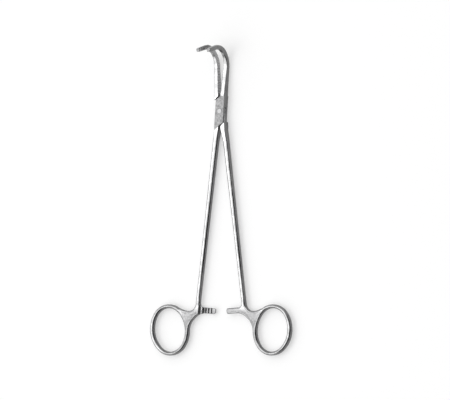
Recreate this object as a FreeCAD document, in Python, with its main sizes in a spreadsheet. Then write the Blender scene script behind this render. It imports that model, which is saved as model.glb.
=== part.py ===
# Hysterectomy forceps: a long box-lock clamp with finger rings, two ratchet bars that slide
# past each other, and slim jaws that turn up at a right angle.  All lengths in millimetres,
# all angles in degrees.
#
# Three pieces: the box half (left ring, left shank, box, right jaw), the tongue half (right
# ring, right shank, tongue, left jaw) and the pivot pin.  Each half is drawn closed, with its
# pivot at the origin, its gripping face on X = 0 and its middle plane on Z = 0.  Its Placement
# then opens it to the angle at rest and lifts it, so that the bottom of the lock is on Z = 0.

import FreeCAD, Part
import math
import os
import re
import Sketcher

V = FreeCAD.Vector

SIZES = {
    # The whole forceps
    "rest_opening": 8.5,
    "grip_gap": 0.05,
    # Box lock: a block, cut at a slope at both ends, and the tongue that turns inside it
    "lock_depth": 6.4,
    "lock_width": 7.2,
    "lock_corner": 8.6,
    "lock_slope": 38,
    "lock_stock": 2.6,
    "shoulder_gap": 0.2,
    "slot_corner": 3.1,
    "slot_end": 12,
    "slot_play": 0.05,
    "tongue_depth": 2.2,
    "tongue_inset": 0.1,
    "tongue_gap": 0.4,
    # Pivot pin
    "pin_bore": 4.2,
    "pin_play": 0.04,
    "pin_bevel": 0.2,
    # Jaws, seen from above and then from the side
    "jaw_waist_width": 3.4,
    "jaw_tip_width": 2.6,
    "jaw_top": 51.3,
    "jaw_lift": 0.2,
    "bend_outer": 17,
    "bend_inner": 13.5,
    "bend_breadth": 4.2,
    "hook_breadth": 3.5,
    "tip_height": 28.5,
    "tip_fall": 2.5,
    "tip_breadth": 3,
    "tip_round": 1.3,
    "back_round": 1.1,
    # Cross teeth on the gripping faces
    "grip_start": 3,
    "grip_turn": 104,
    "grip_pitch": 1.2,
    "grip_land": 0.15,
    "grip_cut": 0.35,
    # Shanks
    "root_width": 3.4,
    "root_round": 0.4,
    "root_length": 3,
    "belly_distance": 24,
    "belly_offset": 2.8,
    "belly_width": 4.2,
    "belly_depth": 5.8,
    "belly_round": 1.9,
    "neck_distance": 145,
    "neck_offset": 9.1,
    "neck_width": 3.4,
    # Finger rings, placed from the neck of the shank
    "ring_drop": 27.2,
    "ring_reach": 24,
    "ring_long": 19.8,
    "ring_short": 17.2,
    "ring_flat": 1.7,
    "ring_lean": 12,
    "ring_end_wall": 2.9,
    "ring_side_wall": 3.4,
    "ring_depth": 4.6,
    "rim_bevel": 1.25,
    # Webs that run from the shank into the ring
    "web_shoulder_round": 6.2,
    "web_crotch_round": 12,
    "web_inner_round": 11.8,
    # Ratchet bars, placed from the neck of the shank
    "bar_drop": 7.6,
    "bar_height": 4.4,
    "bar_reach": 6.2,
    "bar_tip_round": 1.5,
    "bar_root_round": 3,
    "bar_gap": 0.05,
    "tooth_pitch": 2.6,
    "tooth_rise": 0.9,
}
RATCHET_TEETH = 4

# Places that follow from the sizes
PLACES = {
    "ring_distance": "(neck_distance + ring_drop)",
    "ring_offset": "(neck_offset + ring_reach)",
    "hole_long": "(ring_long - ring_end_wall)",
    "hole_short": "(ring_short - ring_side_wall)",
    "bar_top": "(neck_distance + bar_drop)",
    "bar_foot": "(neck_distance + bar_drop + bar_height)",
    "rim": "min(rim_bevel; 12 / 25 * ring_end_wall)",
    "jaw_root": "(lock_width / 2 - grip_gap)",
    "lock_top": "(lock_corner + lock_width / 2 * tan(lock_slope * 1deg))",
    "root_end": "(lock_corner + lock_width / 2 * tan(lock_slope * 1deg) + root_length)",
    "jaw_start": "(lock_corner + lock_width / 2 * tan(lock_slope * 1deg) + shoulder_gap)",
}

doc = FreeCAD.newDocument("HysterectomyForceps")
sheet = doc.addObject("Spreadsheet::Sheet", "Sizes")
for row, (name, size) in enumerate(SIZES.items(), start=1):
    sheet.set(f"A{row}", name)
    sheet.set(f"B{row}", str(size))
    sheet.setAlias(f"B{row}", name)
doc.recompute()


def cells(text):
    """Expression with each place written out and each size pointed at its cell."""
    text = re.sub(r"[a-z_]+", lambda word: PLACES.get(word[0], word[0]), text)
    return re.sub(r"[a-z_]+", lambda word: "Sizes." + word[0] if word[0] in SIZES else word[0], text)


def number(text):
    return float(sheet.evalExpression(cells(text)))


def bind(item, path, text):
    item.setExpression(path, cells(text))


def new_sketch(body, name, plane, offset=None):
    sketch = body.newObject("Sketcher::SketchObject", name)
    planes = {item.Role: item for item in body.Origin.OriginFeatures}
    sketch.AttachmentSupport = (planes[plane], [""])
    sketch.MapMode = "FlatFace"
    if offset:
        bind(sketch, "AttachmentOffset.Base.z", offset)
    return sketch


def hold(sketch, kind, places, text):
    """One driving dimension of a sketch."""
    index = sketch.addConstraint(Sketcher.Constraint(kind, *places, number(text)))
    bind(sketch, f"Constraints[{index}]", text)


def place(sketch, edge, end, x, y):
    hold(sketch, "DistanceX", (-1, 1, edge, end), x)
    hold(sketch, "DistanceY", (-1, 1, edge, end), y)


def outline(sketch, corners):
    """Closed outline of straight edges through (x, y) corners."""
    spots = [V(number(x), number(y), 0) for x, y in corners]
    following = spots[1:] + spots[:1]
    for start, end in zip(spots, following):
        sketch.addGeometry(Part.LineSegment(start, end), False)
    for edge in range(len(spots)):
        sketch.addConstraint(Sketcher.Constraint("Coincident", edge, 2, (edge + 1) % len(spots), 1))
    for edge, (x, y) in enumerate(corners):
        place(sketch, edge, 1, x, y)


def oval(sketch, x, y, long_half, short_half, lean):
    """Upright oval of four arcs, whose top leans towards +X by the angle `lean`."""
    end_round = f"({short_half} - ring_flat)"
    side_round = f"({long_half} + ({long_half} - {short_half}) ^ 2 / (2 * ring_flat))"
    rise = f"({long_half} - {end_round})"
    shift = f"({side_round} - {short_half})"
    turn = math.radians(number(lean))
    join = math.atan2(number(rise), number(shift))
    spin = FreeCAD.Rotation(V(0, 0, 1), -math.degrees(turn))
    middle = V(number(x), number(y), 0)
    for radius, offset, first, last in (
        (side_round, V(-number(shift), 0, 0), -join, join),
        (end_round, V(0, number(rise), 0), join, math.pi - join),
        (side_round, V(number(shift), 0, 0), math.pi - join, math.pi + join),
        (end_round, V(0, -number(rise), 0), math.pi + join, 2 * math.pi - join),
    ):
        circle = Part.Circle(middle + spin.multVec(offset), V(0, 0, 1), number(radius))
        sketch.addGeometry(Part.ArcOfCircle(circle, first - turn, last - turn), False)
    for arc in range(4):
        sketch.addConstraint(Sketcher.Constraint("Tangent", arc, 2, (arc + 1) % 4, 1))
    for arc, way in ((1, "+"), (3, "-")):
        hold(sketch, "DistanceX", (-1, 1, arc, 3), f"{x} {way} {rise} * sin({lean} * 1deg)")
        hold(sketch, "DistanceY", (-1, 1, arc, 3), f"{y} {way} {rise} * cos({lean} * 1deg)")
    for arc in range(4):
        hold(sketch, "Radius", (arc,), end_round if arc % 2 else side_round)


def bevelled_rectangle(sketch, x, width, depth, bevel):
    """Eight-sided section of the shank's neck, centred on the height 0."""
    right, left = f"{x} + {width} / 2", f"{x} - {width} / 2"
    top, foot = f"{depth} / 2", f"0 - {depth} / 2"
    outline(sketch, [
        (f"{right} - {bevel}", foot),
        (right, f"{foot} + {bevel}"),
        (right, f"{top} - {bevel}"),
        (f"{right} - {bevel}", top),
        (f"{left} + {bevel}", top),
        (left, f"{top} - {bevel}"),
        (left, f"{foot} + {bevel}"),
        (f"{left} + {bevel}", foot),
    ])


def rounded_rectangle(sketch, x, width, depth, radius):
    """Section of a shank with round corners, centred on the height 0."""
    cx, half_w, half_d, r = number(x), number(width) / 2, number(depth) / 2, number(radius)
    for right, up, start in ((1, -1, -90), (1, 1, 0), (-1, 1, 90), (-1, -1, 180)):
        corner = Part.Circle(V(cx + right * (half_w - r), up * (half_d - r), 0), V(0, 0, 1), r)
        arc = Part.ArcOfCircle(corner, math.radians(start), math.radians(start + 90))
        sketch.addGeometry(arc, False)
    arcs = [sketch.Geometry[index] for index in range(4)]
    for arc, following in zip(arcs, arcs[1:] + arcs[:1]):
        sketch.addGeometry(Part.LineSegment(arc.EndPoint, following.StartPoint), False)
    for index in range(4):
        line = 4 + index
        sketch.addConstraint(Sketcher.Constraint("Tangent", index, 2, line, 1))
        sketch.addConstraint(Sketcher.Constraint("Tangent", line, 2, (index + 1) % 4, 1))
    for line, way in ((4, "Vertical"), (5, "Horizontal"), (6, "Vertical"), (7, "Horizontal")):
        sketch.addConstraint(Sketcher.Constraint(way, line))
    for index in (1, 2, 3):
        sketch.addConstraint(Sketcher.Constraint("Equal", 0, index))
    hold(sketch, "Radius", (0,), radius)
    hold(sketch, "DistanceX", (-1, 1, 4, 1), f"{x} + {width} / 2")
    hold(sketch, "DistanceX", (-1, 1, 6, 1), f"{x} - {width} / 2")
    hold(sketch, "DistanceY", (-1, 1, 5, 1), f"{depth} / 2")
    hold(sketch, "DistanceY", (-1, 1, 7, 1), f"0 - {depth} / 2")


def pad(body, sketch, name, length, symmetric=True, flipped=False):
    feature = body.newObject("PartDesign::Pad", name)
    feature.Profile = sketch
    feature.SideType = "Symmetric" if symmetric else "One side"
    feature.Reversed = flipped
    bind(feature, "Length", length)
    doc.recompute()
    return feature


def pocket(body, sketch, name, length, symmetric=True, flipped=False):
    before = body.Shape.Volume
    feature = body.newObject("PartDesign::Pocket", name)
    feature.Profile = sketch
    feature.SideType = "Symmetric" if symmetric else "One side"
    feature.Reversed = flipped
    bind(feature, "Length", length)
    doc.recompute()
    if feature.Shape.Volume > before - 1e-6:
        raise RuntimeError(f"{name} cuts nothing")
    return feature


def round_edges(body, name, edges, radius):
    base = body.Tip
    feature = body.newObject("PartDesign::Fillet", name)
    feature.Base = (base, edges)
    bind(feature, "Radius", radius)
    doc.recompute()
    if feature.Shape.isNull():
        raise RuntimeError(f"{name} can't be rounded")
    return feature


def bevel_edges(body, name, edges, size):
    base = body.Tip
    feature = body.newObject("PartDesign::Chamfer", name)
    feature.Base = (base, edges)
    bind(feature, "Size", size)
    doc.recompute()
    if feature.Shape.isNull():
        raise RuntimeError(f"{name} can't be bevelled")
    return feature


def upright_edge(shape, x, y):
    """Name of the edge along Z that stands nearest to a point of the plan."""
    spot = V(number(x), number(y), 0)
    found = {}
    for index, edge in enumerate(shape.Edges, start=1):
        first, last = edge.firstVertex().Point, edge.lastVertex().Point
        if abs(first.x - last.x) + abs(first.y - last.y) < 1e-6 < abs(first.z - last.z):
            found[V(first.x, first.y, 0).distanceToPoint(spot)] = f"Edge{index}"
    return found[min(found)]


def level_edges(shape, height, wanted):
    """Names of the edges that lie at `height` above or below the middle plane."""
    names = []
    for index, edge in enumerate(shape.Edges, start=1):
        box = edge.BoundBox
        if abs(abs(box.ZMin) - height) < 1e-4 and box.ZLength < 1e-4 and wanted(box):
            names.append(f"Edge{index}")
    return names


def finger_ring(body, out):
    """Ring, web and ratchet bar.  `out` is the sign of X on which the ring lies."""
    def way(text):
        return f"{out} * ({text})"

    slope = "((neck_offset - belly_offset) / (neck_distance - belly_distance))"
    inner = "(neck_offset - neck_width / 2)"
    outer = "(neck_offset + neck_width / 2)"

    blank = new_sketch(body, "RingOutline", "XY_Plane")
    oval(blank, way("ring_offset"), "0 - ring_distance", "ring_long", "ring_short", way("ring_lean"))
    pad(body, blank, "Ring", "ring_depth")

    web = new_sketch(body, "WebOutline", "XY_Plane")
    corners = [
        (outer, "0 - neck_distance"),
        (f"{outer} + (ring_drop - 4 / 5 * ring_long) * {slope}", "0 - ring_distance + 4 / 5 * ring_long"),
        (f"({outer} + ring_offset - ring_short / 5) / 2", "0 - ring_distance + 4 / 5 * ring_long"),
        ("ring_offset - ring_short / 5", "0 - ring_distance + 14 / 15 * ring_long"),
        ("ring_offset", "0 - ring_distance"),
        ("ring_offset - 7 / 10 * ring_short", "0 - ring_distance + ring_long / 20"),
        (inner, "0 - bar_foot"),
        ("0 - bar_reach", "0 - bar_foot"),
        ("0 - bar_reach", "0 - bar_top"),
        (f"{inner} + bar_drop * {slope}", "0 - bar_top"),
        (inner, "0 - neck_distance"),
    ]
    outline(web, [(way(x), y) for x, y in corners])
    last = pad(body, web, "Web", "ring_depth")

    for name, x, y, radius in (
        ("WebShoulder", outer, "0 - ring_distance + 4 / 5 * ring_long",
         f"min(web_shoulder_round; (ring_offset - ring_short / 5 - {outer}) / 3)"),
        ("WebCrotch", f"({outer} + ring_offset - ring_short / 5) / 2", "0 - ring_distance + 4 / 5 * ring_long",
         "web_crotch_round"),
        ("WebUnderBar", inner, "0 - bar_foot",
         f"min(web_inner_round; 7 / 5 * (ring_offset - ring_short - {inner}))"),
        ("WebInRing", "ring_offset - ring_short", "0 - ring_distance + ring_long / 4",
         f"min(web_inner_round; 7 / 5 * (ring_offset - ring_short - {inner}))"),
        ("BarRoot", inner, "0 - bar_top", "bar_root_round"),
    ):
        edge = upright_edge(last.Shape, way(x), y)
        last = round_edges(body, name, [edge], radius)
    tips = [upright_edge(last.Shape, way("0 - bar_reach"), y) for y in ("0 - bar_top", "0 - bar_foot")]
    last = round_edges(body, "BarTip", tips, "bar_tip_round")

    hole = new_sketch(body, "HoleOutline", "XY_Plane")
    oval(hole, way("ring_offset"), "0 - ring_distance", "hole_long", "hole_short", way("ring_lean"))
    last = pocket(body, hole, "FingerHole", "2 * ring_depth")

    neck = number("0 - neck_distance")
    rims = level_edges(last.Shape, number("ring_depth / 2"), lambda box: box.YMin < neck - 1e-3)
    bevel_edges(body, "Rims", rims, "rim")


def ratchet(body, out, up):
    """Cuts the bar to half its depth and gives it saw teeth on the side `up`."""
    def way(text):
        return f"{out} * ({text})"

    slope = "((neck_offset - belly_offset) / (neck_distance - belly_distance))"
    inner = "(neck_offset - neck_width / 2)"
    top = "(bar_top - 2 * bar_root_round)"
    low = "(bar_top + 2 * bar_height)"
    relief = new_sketch(body, "BarRelief", "XY_Plane", f"{up} * (0 - bar_gap)")
    corners = [
        (f"{inner} + ({top} - neck_distance) * {slope}", f"0 - {top}"),
        (f"{inner} + ({low} - neck_distance) * {slope}", f"0 - {low}"),
        ("0 - 2 * bar_reach", f"0 - {low}"),
        ("0 - 2 * bar_reach", f"0 - {top}"),
    ]
    outline(relief, [(way(x), y) for x, y in corners])
    pocket(body, relief, "BarHalved", "ring_depth", symmetric=False, flipped=up > 0)

    notch = new_sketch(body, "ToothNotch", "XZ_Plane", "bar_top + bar_height / 2")
    tip = "(bar_tip_round - bar_reach)"
    face = f"{up} * (0 - bar_gap)"
    corners = [
        (tip, face),
        (f"{tip} + tooth_pitch", face),
        (f"{tip} + tooth_pitch", f"{up} * (0 - bar_gap - tooth_rise)"),
    ]
    raised = [(way(x), z) for x, z in corners]
    outline(notch, raised)
    cut = pocket(body, notch, "Tooth", "2 * bar_height")
    row = body.newObject("PartDesign::LinearPattern", "Teeth")
    row.Originals = [cut]
    row.Direction = (notch, ["H_Axis"])
    row.Reversed = out < 0
    row.Occurrences = RATCHET_TEETH
    bind(row, "Length", f"tooth_pitch * {RATCHET_TEETH - 1}")
    body.Tip = row
    doc.recompute()


def shank(body, out):
    """Two lofts: round and tapered down to the ring, then square where it meets the lock."""
    drawn = []
    for draw, name, distance, offset, width, depth, corner in (
        (bevelled_rectangle, "NeckSection", "neck_distance", "neck_offset", "neck_width", "ring_depth", "rim"),
        (rounded_rectangle, "BellySection", "belly_distance", "belly_offset", "belly_width", "belly_depth",
         "belly_round"),
        (rounded_rectangle, "RootSection", "root_end", "root_width / 2 + grip_gap", "root_width", "lock_depth",
         "root_round"),
    ):
        sketch = new_sketch(body, name, "XZ_Plane", distance)
        draw(sketch, f"{out} * ({offset})", width, depth, corner)
        drawn.append(sketch)
    doc.recompute()
    for name, first, second in (("Shank", drawn[0], drawn[1]), ("ShankRoot", drawn[1], drawn[2])):
        loft = body.newObject("PartDesign::AdditiveLoft", name)
        loft.Profile = first
        loft.Sections = [second]
        loft.Ruled = True
        body.Tip = loft
        doc.recompute()


def jaw(body, side):
    """Hooked jaw on the X sign `side`: its outline from the side, then its thickness."""
    profile = new_sketch(body, "JawProfile", "YZ_Plane", f"{side} * grip_gap")
    low = "(jaw_lift - lock_depth / 2)"
    high = "(jaw_lift - lock_depth / 2 + bend_breadth)"
    deep, start = number("lock_depth / 2"), number("jaw_start")
    top, tall = number("jaw_top"), number("tip_height")
    outer, inner = number("bend_outer"), number("bend_inner")
    outer_middle = V(top - outer, outer + number(low), 0)
    inner_middle = V(top - number("hook_breadth") - inner, inner + number(high), 0)
    upward = V(0, 0, 1)
    bend_out = Part.ArcOfCircle(Part.Circle(outer_middle, upward, outer), -1.57, 0.3)
    bend_in = Part.ArcOfCircle(Part.Circle(inner_middle, upward, inner), -1.65, 0.3)
    tip_out = V(top - number("tip_fall"), tall, 0)
    tip_in = tip_out - V(number("tip_breadth"), 0, 0)
    for item in (
        Part.LineSegment(V(start, deep, 0), V(start, -deep, 0)),
        Part.LineSegment(V(start, -deep, 0), bend_out.StartPoint),
        bend_out,
        Part.LineSegment(bend_out.EndPoint, tip_out),
        Part.LineSegment(tip_out, tip_in),
        Part.LineSegment(tip_in, bend_in.EndPoint),
        bend_in,
        Part.LineSegment(bend_in.StartPoint, V(start, deep, 0)),
    ):
        profile.addGeometry(item, False)
    for first, second in ((0, 1), (3, 4), (4, 5), (7, 0)):
        profile.addConstraint(Sketcher.Constraint("Coincident", first, 2, second, 1))
    for first, end, second, begin in ((1, 2, 2, 1), (2, 2, 3, 1), (5, 2, 6, 2), (6, 1, 7, 1)):
        profile.addConstraint(Sketcher.Constraint("Tangent", first, end, second, begin))
    place(profile, 0, 1, "jaw_start", "lock_depth / 2")
    place(profile, 1, 1, "jaw_start", "0 - lock_depth / 2")
    place(profile, 4, 1, "jaw_top - tip_fall", "tip_height")
    place(profile, 5, 1, "jaw_top - tip_fall - tip_breadth", "tip_height")
    hold(profile, "Radius", (2,), "bend_outer")
    hold(profile, "Radius", (6,), "bend_inner")
    place(profile, 2, 3, "jaw_top - bend_outer", f"bend_outer + {low}")
    place(profile, 6, 3, "jaw_top - hook_breadth - bend_inner", f"bend_inner + {high}")
    pad(body, profile, "Jaw", "jaw_root", symmetric=False, flipped=side < 0)

    back = new_sketch(body, "JawBack", "XY_Plane")
    corners = [
        ("jaw_root + grip_gap", "jaw_start"),
        ("jaw_waist_width + grip_gap", "jaw_top - bend_outer"),
        ("jaw_tip_width + grip_gap", "jaw_top"),
        ("jaw_tip_width + grip_gap", "jaw_top + 1"),
        ("2 * jaw_root", "jaw_top + 1"),
        ("2 * jaw_root", "jaw_start"),
    ]
    outline(back, [(f"{side} * ({x})", y) for x, y in corners])
    last = pocket(body, back, "JawTaper", "3 * tip_height")

    tips = []
    for index, edge in enumerate(last.Shape.Edges, start=1):
        if abs(edge.BoundBox.ZMin - tall) < 1e-4 and edge.BoundBox.YLength < 1e-4:
            tips.append(f"Edge{index}")
    last = round_edges(body, "JawTip", tips, "min(tip_round; 9 / 20 * tip_breadth)")

    waist = number("jaw_top - bend_outer")
    straight = number("(jaw_root - jaw_waist_width) / (jaw_top - bend_outer - jaw_start)")
    curved = number("(jaw_waist_width - jaw_tip_width) / bend_outer")
    back_x = number("jaw_waist_width + grip_gap")
    edges = []
    for index, edge in enumerate(last.Shape.Edges, start=1):
        points = edge.discretize(5)
        off = []
        for p in points:
            taper = straight if p.y < waist else curved
            off.append(side * p.x - back_x + taper * (p.y - waist))
        across = abs(points[0].y - waist) < 1e-4 and abs(points[-1].y - waist) < 1e-4
        if max(abs(gap) for gap in off) < 1e-3 and max(p.y for p in points) > start + 1 and not across:
            edges.append(f"Edge{index}")
    round_edges(body, "JawBackRound", edges, "back_round")


def groove(body, side, name, y, z, turn, reach):
    """One V cut across the gripping face, from (y, z) outwards, turned about X by `turn`."""
    sketch = new_sketch(body, f"{name}Outline", "XY_Plane")
    sketch.AttachmentOffset = FreeCAD.Placement(V(0, 0, 0), FreeCAD.Rotation(V(1, 0, 0), 1))
    bind(sketch, "AttachmentOffset.Base.y", y)
    bind(sketch, "AttachmentOffset.Base.z", z)
    bind(sketch, "AttachmentOffset.Rotation.Angle", turn)
    half = "(grip_pitch - grip_land) / 2"
    outline(sketch, [
        (f"{side} * grip_gap", f"0 - {half}"),
        (f"{side} * (grip_gap + grip_cut)", "0"),
        (f"{side} * grip_gap", half),
    ])
    return sketch, pocket(body, sketch, name, reach, symmetric=False)


def grip_teeth(body, side, shift):
    """Cross teeth along the jaw, round its bend and up its hook; one jaw is half a pitch on."""
    middle_y = "(jaw_top - (bend_outer + bend_inner + hook_breadth) / 2)"
    middle_z = "((bend_outer + bend_inner + bend_breadth - lock_depth) / 2 + jaw_lift)"
    mean = "((bend_outer + bend_inner) / 2)"
    reach = "(bend_outer + lock_depth)"

    count = int(number(f"({middle_y} - jaw_start - grip_start) / grip_pitch"))
    start = f"{middle_y} - (0.5 + {shift}) * grip_pitch"
    sketch, cut = groove(body, side, "Groove", start, middle_z, "0", reach)
    row = body.newObject("PartDesign::LinearPattern", "StraightGrooves")
    row.Originals = [cut]
    row.Direction = (sketch, ["V_Axis"])
    row.Reversed = True
    row.Occurrences = count
    bind(row, "Length", f"grip_pitch * {count - 1}")
    body.Tip = row
    doc.recompute()

    step = f"(grip_pitch / {mean} * 180 / pi)"
    count = int(number(f"grip_turn / {step}"))
    sketch, cut = groove(body, side, "BendGroove", middle_y, middle_z, f"(0.5 - {shift}) * {step}", reach)
    centre = new_sketch(body, "BendCentre", "YZ_Plane")
    centre.AttachmentOffset = FreeCAD.Placement(V(0, 0, 0), FreeCAD.Rotation(V(0, 0, 1), 0))
    bind(centre, "AttachmentOffset.Base.x", middle_y)
    bind(centre, "AttachmentOffset.Base.y", middle_z)
    fan = body.newObject("PartDesign::PolarPattern", "BendGrooves")
    fan.Originals = [cut]
    fan.Axis = (centre, ["N_Axis"])
    fan.Occurrences = count
    bind(fan, "Angle", f"{step} * {count - 1}")
    body.Tip = fan
    doc.recompute()

    along = "((0.5 - %s) * grip_pitch)" % shift
    first_turn = f"({step} * {count})"
    y = f"{middle_y} + {along} * cos({first_turn} * 1deg)"
    z = f"{middle_z} + {along} * sin({first_turn} * 1deg)"
    rest = f"(tip_height - {middle_z} - bend_outer * sin({first_turn} * 1deg - 90deg))"
    count = int(number(f"({rest} - tip_round) / grip_pitch"))
    sketch, cut = groove(body, side, "HookGroove", y, z, first_turn, reach)
    row = body.newObject("PartDesign::LinearPattern", "HookGrooves")
    row.Originals = [cut]
    row.Direction = (sketch, ["V_Axis"])
    row.Occurrences = count
    bind(row, "Length", f"grip_pitch * {count - 1}")
    body.Tip = row
    doc.recompute()


def turned(corners):
    """The same corners, turned by half a turn about the pivot."""
    return [(f"0 - ({x})", f"0 - ({y})") for x, y in corners]


def box(body):
    """The block, sloped at its free corners, with the slot and the bore for the pin."""
    block = new_sketch(body, "BlockOutline", "XY_Plane")
    end = [
        ("0 - lock_width / 2", "lock_corner"),
        ("grip_gap", "lock_top"),
        ("grip_gap", "jaw_start"),
        ("lock_width / 2", "jaw_start"),
    ]
    foot = [
        ("lock_width / 2", "0 - lock_corner"),
        ("0 - grip_gap", "0 - lock_top"),
        ("0 - grip_gap", "0 - root_end"),
        ("0 - grip_gap - root_width", "0 - root_end"),
        ("0 - lock_width / 2", "lock_stock - root_end"),
    ]
    outline(block, end + foot)
    pad(body, block, "Block", "lock_depth")


def slot(body):
    """Slot that lets the tongue turn: two walls stay, one at each end of the block."""
    steep = "((slot_end - slot_corner) / (lock_width / 2))"
    cut = new_sketch(body, "SlotOutline", "XY_Plane")
    side = [
        ("0 - 3 / 2 * lock_width", f"{steep} * lock_width - slot_corner"),
        ("lock_width / 2", f"0 - slot_end - {steep} * lock_width / 2"),
        ("3 / 2 * lock_width", f"0 - slot_end - {steep} * lock_width / 2"),
    ]
    outline(cut, side + turned(side))
    pocket(body, cut, "Slot", "tongue_depth + 2 * slot_play")


def tongue(body):
    """Both shoulders of the tongue half, and the tongue between them."""
    steep = "((slot_end - slot_corner) / (lock_width / 2))"
    foot = new_sketch(body, "FootOutline", "XY_Plane")
    outline(foot, [
        ("lock_width / 2", "0 - lock_corner - shoulder_gap"),
        ("lock_width / 2", "lock_stock - root_end"),
        ("grip_gap + root_width", "0 - root_end"),
        ("grip_gap", "0 - root_end"),
        ("grip_gap", "0 - lock_top - shoulder_gap"),
    ])
    pad(body, foot, "Foot", "lock_depth")

    band = new_sketch(body, "TongueOutline", "XY_Plane")
    inset = "(lock_width / 2 - tongue_inset)"
    half = [
        (f"0 - {inset}", f"tongue_gap - slot_corner - {steep} * tongue_inset"),
        ("grip_gap", f"tongue_gap - slot_end - {steep} * grip_gap"),
        ("grip_gap", "0 - root_end + root_length / 2"),
        ("root_width / 2", "0 - root_end + root_length / 2"),
        (inset, "0 - lock_corner - shoulder_gap - tongue_inset"),
    ]
    outline(band, half + turned(half))
    pad(body, band, "Tongue", "tongue_depth")

    head = new_sketch(body, "HeadOutline", "XY_Plane")
    outline(head, [
        ("0 - lock_width / 2", "lock_corner + shoulder_gap"),
        ("0 - lock_width / 2", "jaw_start"),
        ("0 - grip_gap", "jaw_start"),
    ])
    pad(body, head, "Head", "lock_depth")


def bore(body, diameter):
    circle = new_sketch(body, "BoreOutline", "XY_Plane")
    circle.addGeometry(Part.Circle(V(0, 0, 0), V(0, 0, 1), number(diameter) / 2), False)
    circle.addConstraint(Sketcher.Constraint("Coincident", 0, 3, -1, 1))
    hold(circle, "Diameter", (0,), diameter)
    pocket(body, circle, "Bore", "2 * lock_depth")


def new_half(name, label, side):
    """Body at its Placement: opened by half the angle at rest and lifted on to its side."""
    body = doc.addObject("PartDesign::Body", name)
    body.Label = label
    body.Placement = FreeCAD.Placement(V(0, 0, 0), FreeCAD.Rotation(V(0, 0, 1), 1))
    bind(body, "Placement.Base.z", "lock_depth / 2")
    bind(body, "Placement.Rotation.Angle", f"{-side} * rest_opening / 2")
    return body


box_half = new_half("BoxHalf", "box_half", 1)
jaw(box_half, 1)
grip_teeth(box_half, 1, "0")
finger_ring(box_half, -1)
ratchet(box_half, -1, 1)
shank(box_half, -1)
box(box_half)
slot(box_half)
bore(box_half, "pin_bore")

tongue_half = new_half("TongueHalf", "tongue_half", -1)
jaw(tongue_half, -1)
grip_teeth(tongue_half, -1, "0.5")
finger_ring(tongue_half, 1)
ratchet(tongue_half, 1, -1)
shank(tongue_half, 1)
tongue(tongue_half)
bore(tongue_half, "pin_bore + 2 * pin_play")

pivot_pin = doc.addObject("PartDesign::Body", "PivotPin")
pivot_pin.Label = "pivot_pin"
bind(pivot_pin, "Placement.Base.z", "lock_depth / 2")
disc = new_sketch(pivot_pin, "PinOutline", "XY_Plane")
disc.addGeometry(Part.Circle(V(0, 0, 0), V(0, 0, 1), number("pin_bore") / 2), False)
disc.addConstraint(Sketcher.Constraint("Coincident", 0, 3, -1, 1))
hold(disc, "Diameter", (0,), "pin_bore")
pin = pad(pivot_pin, disc, "Pin", "lock_depth")
ends = level_edges(pin.Shape, number("lock_depth / 2"), lambda box: True)
bevel_edges(pivot_pin, "PinBevel", ends, "pin_bevel")

nodes = [box_half, tongue_half, pivot_pin]

doc.recompute()
for item in doc.Objects:
    if "Invalid" in item.State or "Error" in item.State:
        raise RuntimeError(f"{item.Label} failed: {item.State}")
for node in nodes:
    if node.Shape.isNull() or not node.Shape.isValid():
        raise RuntimeError(f"{node.Label} has no valid shape")

os.makedirs("parts", exist_ok=True)
for node in nodes:
    node.Shape.exportStep(f"parts/{node.Label}.step")
    print(node.Label, len(node.Shape.Solids), round(node.Shape.Volume, 2), len(node.Shape.Faces))
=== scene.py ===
import math

import bpy
from mathutils import Matrix, Vector


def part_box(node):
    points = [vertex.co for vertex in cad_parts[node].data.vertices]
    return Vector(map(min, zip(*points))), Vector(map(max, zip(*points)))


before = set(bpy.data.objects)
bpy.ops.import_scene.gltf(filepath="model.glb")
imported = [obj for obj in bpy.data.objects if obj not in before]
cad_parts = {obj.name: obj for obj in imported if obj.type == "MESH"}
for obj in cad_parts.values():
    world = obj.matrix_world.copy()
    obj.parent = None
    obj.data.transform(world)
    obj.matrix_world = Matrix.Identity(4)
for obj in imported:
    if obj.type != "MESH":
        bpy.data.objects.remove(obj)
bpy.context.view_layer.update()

scene = bpy.context.scene
scene.view_settings.view_transform = "Standard"

MM = 0.001

# The pin is flush with both ground faces of the lock, which lies on the table
PIN_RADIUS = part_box("pivot_pin")[1].x
LOCK_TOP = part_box("pivot_pin")[1].z
# How far the shoulders at the lock's ends rise along Y for each step along X
LOCK_SLOPE = 0.8

# Each zone of the forgings runs from the place where it starts to the place where it is whole
LOCK_ENDS = (11.9 * MM, 10.7 * MM)
TOOTHED_PART = (12.5 * MM, 14.5 * MM)
TURNED_INWARD = (-0.2 * MM, -1.2 * MM)
WEB_ALONG = (-149 * MM, -156 * MM)
WEB_ACROSS = (40 * MM, 30 * MM)
JAW_ENDS = (26 * MM, 27.5 * MM)

EDGE_ROUND = 0.6 * MM
TOOTH_ROUND = 0.12 * MM
ROOT_DEPTH = 0.9 * MM
CIRCLE_PITCH = 0.15 * MM

# The darkest and the lightest grey of each finish, and of the painted shade on the side faces
POLISHED = (0.54, 0.72)
GROUND = (0.17, 0.29)
# Painted shade for the side faces
FLANK_SHADE = (0.07, 0.115)
TOOTHED = (0.44, 0.56)
PIN_HEAD = (0.26, 0.36)

SCRATCH = 0.44
# Painted shade for the tooth roots, the slot and other hollows
ROOT_SHADE = 0.04
# Painted shade along the edges of the polished faces, and painted highlight along the edges of the ground
# faces
EDGE_SHADE = 0.2
EDGE_HIGHLIGHT = 0.74
PIN_RIM = 0.16


def grey(level):
    """Steel grey, a trace cooler than a neutral one."""
    return (level, level, 1.01 * level, 1)


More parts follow.
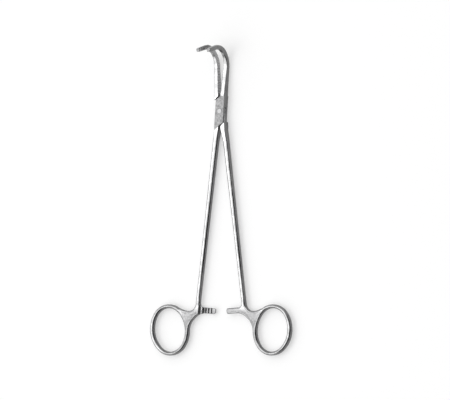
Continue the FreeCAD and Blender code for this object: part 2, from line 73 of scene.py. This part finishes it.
class Nodes:
    """Short calls for building a node tree."""

    def __init__(self, tree):
        self.tree = tree

    def add(self, kind, **settings):
        node = self.tree.nodes.new(kind)
        for name, value in settings.items():
            setattr(node, name, value)
        return node

    def link(self, source, target):
        self.tree.links.new(source, target)

    def feed(self, socket, value):
        if isinstance(value, bpy.types.NodeSocket):
            self.link(value, socket)
        else:
            socket.default_value = value

    def math(self, operation, *values, clamp=False):
        node = self.add("ShaderNodeMath", operation=operation, use_clamp=clamp)
        for socket, value in zip(node.inputs, values):
            self.feed(socket, value)
        return node.outputs[0]

    def steps(self, value, low, high, to_low=0.0, to_high=1.0, smooth=True):
        """Runs from to_low at `low` to to_high at `high`, held level outside."""
        node = self.add("ShaderNodeMapRange")
        node.interpolation_type = "SMOOTHSTEP" if smooth else "LINEAR"
        for socket, given in zip(node.inputs, (value, low, high, to_low, to_high)):
            self.feed(socket, given)
        return node.outputs[0]

    def split(self, vector):
        node = self.add("ShaderNodeSeparateXYZ")
        self.link(vector, node.inputs[0])
        return node.outputs

    def noise(self, vector, scale, detail, roughness):
        node = self.add("ShaderNodeTexNoise")
        self.link(vector, node.inputs["Vector"])
        node.inputs["Scale"].default_value = scale
        node.inputs["Detail"].default_value = detail
        node.inputs["Roughness"].default_value = roughness
        return node.outputs["Fac"]

    def stretched(self, vector, factors):
        node = self.add("ShaderNodeMapping")
        node.inputs["Scale"].default_value = factors
        self.link(vector, node.inputs["Vector"])
        return node.outputs[0]

    def mix(self, amount, first, second):
        node = self.add("ShaderNodeMix", data_type="RGBA")
        self.feed(node.inputs[0], amount)
        self.feed(node.inputs[6], first)
        self.feed(node.inputs[7], second)
        return node.outputs[2]

    def tone(self, amount, finish):
        """Runs from the darkest to the lightest grey of a finish."""
        darkest, lightest = finish
        return self.mix(amount, grey(darkest), grey(lightest))


def new_material(name):
    material = bpy.data.materials.new(name)
    material.use_nodes = True
    nodes = Nodes(material.node_tree)
    shader = material.node_tree.nodes["Principled BSDF"]
    return material, nodes, shader


def add_bump(n, shader, height, strength, depth, normal=None):
    """Bends the surface by a height map whose whole range stands for `depth`."""
    bump = n.add("ShaderNodeBump")
    bump.inputs["Strength"].default_value = strength
    bump.inputs["Distance"].default_value = depth
    n.link(height, bump.inputs["Height"])
    if normal is not None:
        n.link(normal, bump.inputs["Normal"])
    n.link(bump.outputs[0], shader.inputs["Normal"])


def toothed_faces(n, x, y, facing):
    """Mask of the jaws' inner faces: past the lock, and turned towards the other jaw."""
    inward = n.steps(n.math("MULTIPLY", x, facing["X"]), *TURNED_INWARD)
    return n.math("MULTIPLY", inward, n.steps(y, *TOOTHED_PART))


def ground_faces(n, x, y, z, flat):
    """Mask of the lock's top and bottom faces, between its sloping shoulders, and of the jaws' ends."""
    top = n.steps(z, LOCK_TOP - 0.07 * MM, LOCK_TOP - 0.01 * MM)
    bottom = n.steps(z, 0.05 * MM, 0.01 * MM)
    along = n.math("ABSOLUTE", n.math("SUBTRACT", y, n.math("MULTIPLY", x, LOCK_SLOPE)))
    lock = n.math("MULTIPLY", n.steps(along, *LOCK_ENDS), n.math("MAXIMUM", top, bottom))
    return n.math("MULTIPLY", n.math("MAXIMUM", lock, n.steps(z, *JAW_ENDS)), flat)


def web_faces(n, x, y, flat):
    """Mask of the webs between the shanks and the rings, and of the ratchet bars, which take the ground
    grey as painted shade.
    """
    across = n.steps(n.math("ABSOLUTE", x), *WEB_ACROSS)
    return n.math("MULTIPLY", n.math("MULTIPLY", n.steps(y, *WEB_ALONG), across), flat)


def round_edges(n, toothed):
    """Normal of the surface with every edge rounded off, the teeth least."""
    bevel = n.add("ShaderNodeBevel", samples=8)
    n.link(n.steps(toothed, 0.0, 1.0, EDGE_ROUND, TOOTH_ROUND), bevel.inputs["Radius"])
    return bevel.outputs[0]


def painted_edge_lines(n, rounded):
    """Mask of the edges, found from how far the rounding turns the surface, where painted shade and
    painted highlight go.
    """
    turn = n.add("ShaderNodeVectorMath", operation="DOT_PRODUCT")
    n.link(rounded, turn.inputs[0])
    n.link(n.add("ShaderNodeNewGeometry").outputs["Normal"], turn.inputs[1])
    return n.steps(turn.outputs["Value"], 0.996, 0.91)


def shaded_roots(n):
    """Mask of the painted shade held in the tooth roots, in the slot of the lock and in other hollows."""
    shade = n.add("ShaderNodeAmbientOcclusion", samples=8, only_local=True)
    shade.inputs["Distance"].default_value = ROOT_DEPTH
    return n.steps(shade.outputs["AO"], 0.975, 0.76)


def forged_steel():
    """Stainless steel: polished top faces and ground lock faces, with painted shade on the flanks, on the
    webs and in the tooth roots, and painted shade and highlights along the edges.
    """
    material, n, shader = new_material("forged_steel")
    place = n.add("ShaderNodeTexCoord")
    where = place.outputs["Object"]
    x, y, z = n.split(where)
    facing = n.split(place.outputs["Normal"])
    flat = n.steps(n.math("ABSOLUTE", facing["Z"]), 0.93, 0.995)

    toothed = toothed_faces(n, x, y, facing)
    ground = ground_faces(n, x, y, z, flat)
    web = web_faces(n, x, y, flat)
    rounded = round_edges(n, toothed)
    # Faces turned to the side, which take the painted shade
    flank = n.steps(n.math("ABSOLUTE", n.split(rounded)["Z"]), 0.84, 0.42)
    edge_lines = painted_edge_lines(n, rounded)
    roots = shaded_roots(n)

    # Soft clouds in the polish, blotches on the dull faces, and small scratches
    cloud = n.noise(where, scale=160.0, detail=4.0, roughness=0.55)
    blotch = n.steps(n.noise(where, scale=720.0, detail=4.0, roughness=0.6), 0.34, 0.66)
    haze = n.steps(n.noise(where, scale=800.0, detail=3.0, roughness=0.5), 0.35, 0.65)
    speck = n.steps(n.noise(where, scale=2100.0, detail=2.0, roughness=0.5), 0.6, 0.74)

    # Side faces get painted shade, and their toothed parts are lighter
    side_face = n.mix(toothed, n.tone(haze, FLANK_SHADE), n.tone(blotch, TOOTHED))
    ground_face = n.mix(n.math("MULTIPLY", speck, 0.25), n.tone(blotch, GROUND), grey(SCRATCH))
    # Edges get painted shade on the polished faces and a painted highlight on the ground ones
    edge = n.mix(ground, grey(EDGE_SHADE), grey(EDGE_HIGHLIGHT))
    layers = (
        (flank, 0.85, side_face),
        (ground, 1.0, ground_face),
        # painted shade on the webs and ratchet bars
        (web, 0.9, ground_face),
        # painted shade in the hollows
        (roots, 0.92, grey(ROOT_SHADE)),
        (edge_lines, 0.78, edge),
    )
    colour = n.tone(n.steps(cloud, 0.38, 0.62), POLISHED)
    for mask, strength, layer in layers:
        colour = n.mix(n.math("MULTIPLY", mask, strength), colour, layer)
    n.link(colour, shader.inputs["Base Color"])

    rough = n.steps(cloud, 0.3, 0.75, 0.17, 0.27)
    for mask, rougher in ((ground, 0.16), (web, 0.08), (roots, 0.15), (edge_lines, -0.08)):
        rough = n.math("ADD", rough, n.math("MULTIPLY", mask, rougher))
    n.link(rough, shader.inputs["Roughness"])
    shader.inputs["Metallic"].default_value = 1.0

    # Fine lapping lines along the shanks, and grinding lines across the lock
    lapped = n.noise(n.stretched(where, (2600.0, 90.0, 2600.0)), scale=1.0, detail=2.0, roughness=0.6)
    crossed = n.noise(n.stretched(where, (240.0, 4200.0, 240.0)), scale=1.0, detail=2.0, roughness=0.6)
    lines = n.mix(ground, lapped, crossed)
    add_bump(n, shader, lines, strength=0.10, depth=0.02 * MM, normal=rounded)
    return material


def pin_steel():
    """The ground head of the pin, lighter than the lock: fine circles about its axis, and a darker rim."""
    material, n, shader = new_material("pin_steel")
    where = n.add("ShaderNodeTexCoord").outputs["Object"]
    x, y, _ = n.split(where)
    radius = n.math("SQRT", n.math("ADD", n.math("MULTIPLY", x, x), n.math("MULTIPLY", y, y)))
    circles = n.math("SINE", n.math("MULTIPLY", radius, 2 * math.pi / CIRCLE_PITCH))
    cloud = n.noise(where, scale=900.0, detail=3.0, roughness=0.5)
    rim = n.steps(radius, PIN_RADIUS - 0.4 * MM, PIN_RADIUS - 0.02 * MM)

    colour = n.mix(n.math("MULTIPLY", rim, 0.35), n.tone(cloud, PIN_HEAD), grey(PIN_RIM))
    n.link(colour, shader.inputs["Base Color"])
    n.link(n.steps(cloud, 0.3, 0.7, 0.22, 0.32), shader.inputs["Roughness"])
    shader.inputs["Metallic"].default_value = 1.0
    add_bump(n, shader, circles, strength=0.12, depth=0.01 * MM)
    return material


def smooth_forging():
    """Node group that shades a mesh smooth, with a crease at every edge sharper than 50 degrees."""
    group = bpy.data.node_groups.new("smooth_forging", "GeometryNodeTree")
    group.interface.new_socket("Mesh", in_out="INPUT", socket_type="NodeSocketGeometry")
    group.interface.new_socket("Mesh", in_out="OUTPUT", socket_type="NodeSocketGeometry")
    n = Nodes(group)
    start = n.add("NodeGroupInput")
    end = n.add("NodeGroupOutput")
    faces = n.add("GeometryNodeSetShadeSmooth", domain="FACE")
    creases = n.add("GeometryNodeSetShadeSmooth", domain="EDGE")
    angle = n.add("GeometryNodeInputMeshEdgeAngle")
    soft = n.add("FunctionNodeCompare", data_type="FLOAT", operation="LESS_THAN")
    n.link(angle.outputs["Unsigned Angle"], soft.inputs[0])
    soft.inputs[1].default_value = math.radians(50)
    n.link(start.outputs[0], faces.inputs["Geometry"])
    n.link(faces.outputs[0], creases.inputs["Geometry"])
    n.link(soft.outputs[0], creases.inputs["Shade Smooth"])
    n.link(creases.outputs[0], end.inputs[0])
    return group


def dress(node, material, smoothing):
    """Gives a node its steel, and modifiers that smooth its shading and leave its shape as it is."""
    node.data.materials.clear()
    node.data.materials.append(material)
    node.modifiers.new("weld", "WELD").merge_threshold = 0.002 * MM
    node.modifiers.new("smooth", "NODES").node_group = smoothing
    node.modifiers.new("level_flats", "WEIGHTED_NORMAL").keep_sharp = True


def floor_paint():
    """Pale paint that shows as white to the camera and in mirrors, and keeps the object's shadow."""
    material, n, shader = new_material("pale_floor")
    paint_level = 0.62
    glow_level = 0.36
    path = n.add("ShaderNodeLightPath").outputs
    seen = n.math("ADD", path["Is Camera Ray"], path["Is Glossy Ray"])
    seen = n.math("ADD", seen, path["Is Transmission Ray"], clamp=True)
    paint = n.add("ShaderNodeBsdfDiffuse")
    paint.inputs["Color"].default_value = (paint_level, paint_level, paint_level, 1)
    glow = n.add("ShaderNodeEmission")
    n.link(n.math("MULTIPLY", seen, glow_level), glow.inputs["Strength"])
    both = n.add("ShaderNodeAddShader")
    n.link(paint.outputs[0], both.inputs[0])
    n.link(glow.outputs[0], both.inputs[1])
    n.tree.nodes.remove(shader)
    n.link(both.outputs[0], n.tree.nodes["Material Output"].inputs["Surface"])
    return material


def floor_plate():
    """Plain pale floor, a hair below the forceps."""
    half = 3.0
    corners = [(-half, -half, 0), (half, -half, 0), (half, half, 0), (-half, half, 0)]
    mesh = bpy.data.meshes.new("floor")
    mesh.from_pydata(corners, [], [(0, 1, 2, 3)])
    mesh.materials.append(floor_paint())
    floor = bpy.data.objects.new("floor", mesh)
    scene.collection.objects.link(floor)
    floor.location.z = -0.05 * MM


def studio_world():
    """White behind the object. It lights as a bright dome over a darker wall, darkest towards +X."""
    dome_level = 1.3
    wall_level = 0.02
    world = bpy.data.worlds.new("studio")
    scene.world = world
    world.use_nodes = True
    n = Nodes(world.node_tree)
    x, y, z = n.split(n.add("ShaderNodeTexCoord").outputs["Generated"])
    towards_x = n.math("SUBTRACT", n.math("MULTIPLY", x, 0.9), n.math("MULTIPLY", y, 0.4))
    wall = n.math("MULTIPLY", n.steps(z, 0.88, 0.55), n.steps(towards_x, 0.05, 0.45))
    skirting = n.math("MULTIPLY", n.steps(z, 0.5, 0.2), 0.75)
    shade = n.math("MAXIMUM", wall, skirting)
    light = n.steps(shade, 0.0, 1.0, dome_level, wall_level, smooth=False)
    seen = n.add("ShaderNodeLightPath").outputs["Is Camera Ray"]
    background = world.node_tree.nodes["Background"]
    n.link(n.mix(seen, light, (1, 1, 1, 1)), background.inputs["Color"])
    background.inputs["Strength"].default_value = 1.0


def key_light():
    """One softbox, up and to the left, which the top faces of the forgings mirror."""
    place = Vector((-0.8, -0.1, 1.3))
    aim = Vector((0, -0.07, 0))
    light = bpy.data.lights.new("key", "AREA")
    light.shape = "RECTANGLE"
    light.size = 0.6
    light.size_y = 0.9
    light.energy = 2.4
    lamp = bpy.data.objects.new("key", light)
    scene.collection.objects.link(lamp)
    lamp.location = place
    lamp.rotation_euler = (aim - place).to_track_quat("-Z", "Y").to_euler()
    lamp.visible_camera = False


def photo_camera():
    """Looks down on the flat-lying forceps from 30 degrees beside upright, as the photograph does."""
    lean = math.radians(30)
    distance = 1.9
    view_width = 347.9 * MM
    lock_to_centre_right = 2.9 * MM
    lock_to_centre_down = 68.8 * MM
    back = Vector((math.sin(lean), 0, math.cos(lean)))
    right = Vector((math.cos(lean), 0, -math.sin(lean)))
    up = Vector((0, 1, 0))
    lock_middle = Vector((0, 0, LOCK_TOP / 2))
    centre = lock_middle + right * lock_to_centre_right - up * lock_to_centre_down

    data = bpy.data.cameras.new("camera")
    data.type = "ORTHO"
    data.ortho_scale = view_width
    data.clip_start = 0.05
    data.clip_end = 20
    camera = bpy.data.objects.new("camera", data)
    scene.collection.objects.link(camera)
    turn = Matrix((right, up, back)).transposed()
    camera.matrix_world = Matrix.Translation(centre + back * distance) @ turn.to_4x4()
    scene.camera = camera


steel = forged_steel()
pin = pin_steel()
smoothing = smooth_forging()
for name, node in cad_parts.items():
    dress(node, pin if name == "pivot_pin" else steel, smoothing)
floor_plate()
studio_world()
key_light()
photo_camera()
